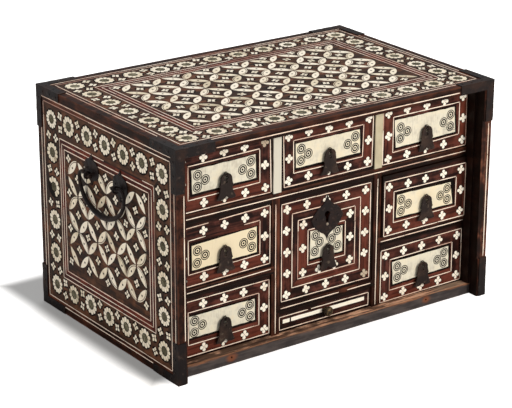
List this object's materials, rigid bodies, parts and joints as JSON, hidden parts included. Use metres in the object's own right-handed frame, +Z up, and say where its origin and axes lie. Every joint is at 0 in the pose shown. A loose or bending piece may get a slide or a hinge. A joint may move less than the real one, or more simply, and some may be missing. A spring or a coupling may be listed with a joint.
{
  "type": "table cabinet",
  "caption": "Inlaid wooden table cabinet with sliding drawers behind an open front, drop pulls, a drawer lock, side bail handles and iron corners.",
  "frame": {"origin": "on the surface it stands on, under the middle of the cabinet", "axes": "+X to the right seen from the front, +Y to the back, +Z up; the drawers open towards -Y"},
  "size_m": [0.471, 0.296, 0.275],
  "materials": {
    "inlaid_wood": "waxed dark hardwood with pale bone inlay, worn at the edges",
    "plain_wood": "plain dark wood, dry and aged",
    "rosewood": "waxed reddish rosewood with dark streaks",
    "bone": "polished aged bone",
    "iron": "dark wrought iron, waxed, slightly rough",
    "brass": "dark tarnished brass"
  },
  "bodies": {
    "case": {"side_left": "inlaid_wood", "side_right": "inlaid_wood", "top_board": "inlaid_wood", "bottom_board": "plain_wood", "back_board": "plain_wood", "main_shelf": "rosewood", "lower_shelves": "rosewood", "partitions": "rosewood", "bone_strips": "bone", "corner_irons": "iron", "handle_mounts": "iron"},
    "drawer_top_left": {"drawer_front_top_left": "rosewood", "drawer_box_top_left": "plain_wood", "plaque_top_left": "bone", "pull_staple_top_left": "iron"},
    "pull_top_left": {"pull_top_left": "iron"},
    "drawer_top_middle": {"drawer_front_top_middle": "rosewood", "drawer_box_top_middle": "plain_wood", "plaque_top_middle": "bone", "pull_staple_top_middle": "iron"},
    "pull_top_middle": {"pull_top_middle": "iron"},
    "drawer_top_right": {"drawer_front_top_right": "rosewood", "drawer_box_top_right": "plain_wood", "plaque_top_right": "bone", "pull_staple_top_right": "iron"},
    "pull_top_right": {"pull_top_right": "iron"},
    "drawer_middle_left": {"drawer_front_middle_left": "rosewood", "drawer_box_middle_left": "plain_wood", "plaque_middle_left": "bone", "pull_staple_middle_left": "iron"},
    "pull_middle_left": {"pull_middle_left": "iron"},
    "drawer_middle_right": {"drawer_front_middle_right": "rosewood", "drawer_box_middle_right": "plain_wood", "plaque_middle_right": "bone", "pull_staple_middle_right": "iron"},
    "pull_middle_right": {"pull_middle_right": "iron"},
    "drawer_lower_left": {"drawer_front_lower_left": "rosewood", "drawer_box_lower_left": "plain_wood", "plaque_lower_left": "bone", "pull_staple_lower_left": "iron"},
    "pull_lower_left": {"pull_lower_left": "iron"},
    "drawer_lower_right": {"drawer_front_lower_right": "rosewood", "drawer_box_lower_right": "plain_wood", "plaque_lower_right": "bone", "pull_staple_lower_right": "iron"},
    "pull_lower_right": {"pull_lower_right": "iron"},
    "drawer_centre": {"drawer_front_centre": "rosewood", "drawer_box_centre": "plain_wood", "plaque_centre": "bone", "pull_staple_centre": "iron", "lock_plate": "iron", "lock_case": "iron"},
    "pull_centre": {"pull_centre": "iron"},
    "drawer_slim": {"drawer_front_slim": "rosewood", "drawer_box_slim": "plain_wood", "slim_strips": "bone", "knob": "brass"},
    "lock_bolt": {"lock_bolt": "iron"},
    "bail_left": {"bail_left": "iron"},
    "bail_right": {"bail_right": "iron"}
  },
  "joints": [
    {"name": "slide_top_left", "type": "slide", "parent": "case", "child": "drawer_top_left", "axis": [0, -1, 0], "range_m": [0, 0.2]},
    {"name": "swing_pull_top_left", "type": "hinge", "parent": "drawer_top_left", "child": "pull_top_left", "pos_m": [-0.1435, -0.1242, 0.2246], "axis": [-1, 0, 0], "range_deg": [0, 165]},
    {"name": "slide_top_middle", "type": "slide", "parent": "case", "child": "drawer_top_middle", "axis": [0, -1, 0], "range_m": [0, 0.2]},
    {"name": "swing_pull_top_middle", "type": "hinge", "parent": "drawer_top_middle", "child": "pull_top_middle", "pos_m": [0, -0.1245, 0.2246], "axis": [-1, 0, 0], "range_deg": [0, 165]},
    {"name": "slide_top_right", "type": "slide", "parent": "case", "child": "drawer_top_right", "axis": [0, -1, 0], "range_m": [0, 0.2]},
    {"name": "swing_pull_top_right", "type": "hinge", "parent": "drawer_top_right", "child": "pull_top_right", "pos_m": [0.1435, -0.12435, 0.2246], "axis": [-1, 0, 0], "range_deg": [0, 165]},
    {"name": "slide_middle_left", "type": "slide", "parent": "case", "child": "drawer_middle_left", "axis": [0, -1, 0], "range_m": [0, 0.2]},
    {"name": "swing_pull_middle_left", "type": "hinge", "parent": "drawer_middle_left", "child": "pull_middle_left", "pos_m": [-0.144, -0.12345, 0.1386], "axis": [-1, 0, 0], "range_deg": [0, 165]},
    {"name": "slide_middle_right", "type": "slide", "parent": "case", "child": "drawer_middle_right", "axis": [0, -1, 0], "range_m": [0, 0.2]},
    {"name": "swing_pull_middle_right", "type": "hinge", "parent": "drawer_middle_right", "child": "pull_middle_right", "pos_m": [0.144, -0.1272, 0.1386], "axis": [-1, 0, 0], "range_deg": [0, 165]},
    {"name": "slide_lower_left", "type": "slide", "parent": "case", "child": "drawer_lower_left", "axis": [0, -1, 0], "range_m": [0, 0.2]},
    {"name": "swing_pull_lower_left", "type": "hinge", "parent": "drawer_lower_left", "child": "pull_lower_left", "pos_m": [-0.144, -0.1224, 0.0526], "axis": [-1, 0, 0], "range_deg": [0, 165]},
    {"name": "slide_lower_right", "type": "slide", "parent": "case", "child": "drawer_lower_right", "axis": [0, -1, 0], "range_m": [0, 0.2]},
    {"name": "swing_pull_lower_right", "type": "hinge", "parent": "drawer_lower_right", "child": "pull_lower_right", "pos_m": [0.144, -0.12435, 0.0526], "axis": [-1, 0, 0], "range_deg": [0, 165]},
    {"name": "slide_centre", "type": "slide", "parent": "case", "child": "drawer_centre", "axis": [0, -1, 0], "range_m": [0, 0.2]},
    {"name": "swing_pull_centre", "type": "hinge", "parent": "drawer_centre", "child": "pull_centre", "pos_m": [0, -0.1236, 0.10785], "axis": [-1, 0, 0], "range_deg": [0, 165]},
    {"name": "slide_slim", "type": "slide", "parent": "case", "child": "drawer_slim", "axis": [0, -1, 0], "range_m": [0, 0.2]},
    {"name": "lock_bolt_throw", "type": "slide", "parent": "drawer_centre", "child": "lock_bolt", "axis": [0, 0, 1], "range_m": [0, 0.006]},
    {"name": "swing_bail_left", "type": "hinge", "parent": "case", "child": "bail_left", "pos_m": [-0.23065, -0.004, 0.198], "axis": [0, 1, 0], "range_deg": [0, 170]},
    {"name": "swing_bail_right", "type": "hinge", "parent": "case", "child": "bail_right", "pos_m": [0.23065, -0.004, 0.198], "axis": [0, -1, 0], "range_deg": [0, 170]}
  ]
}
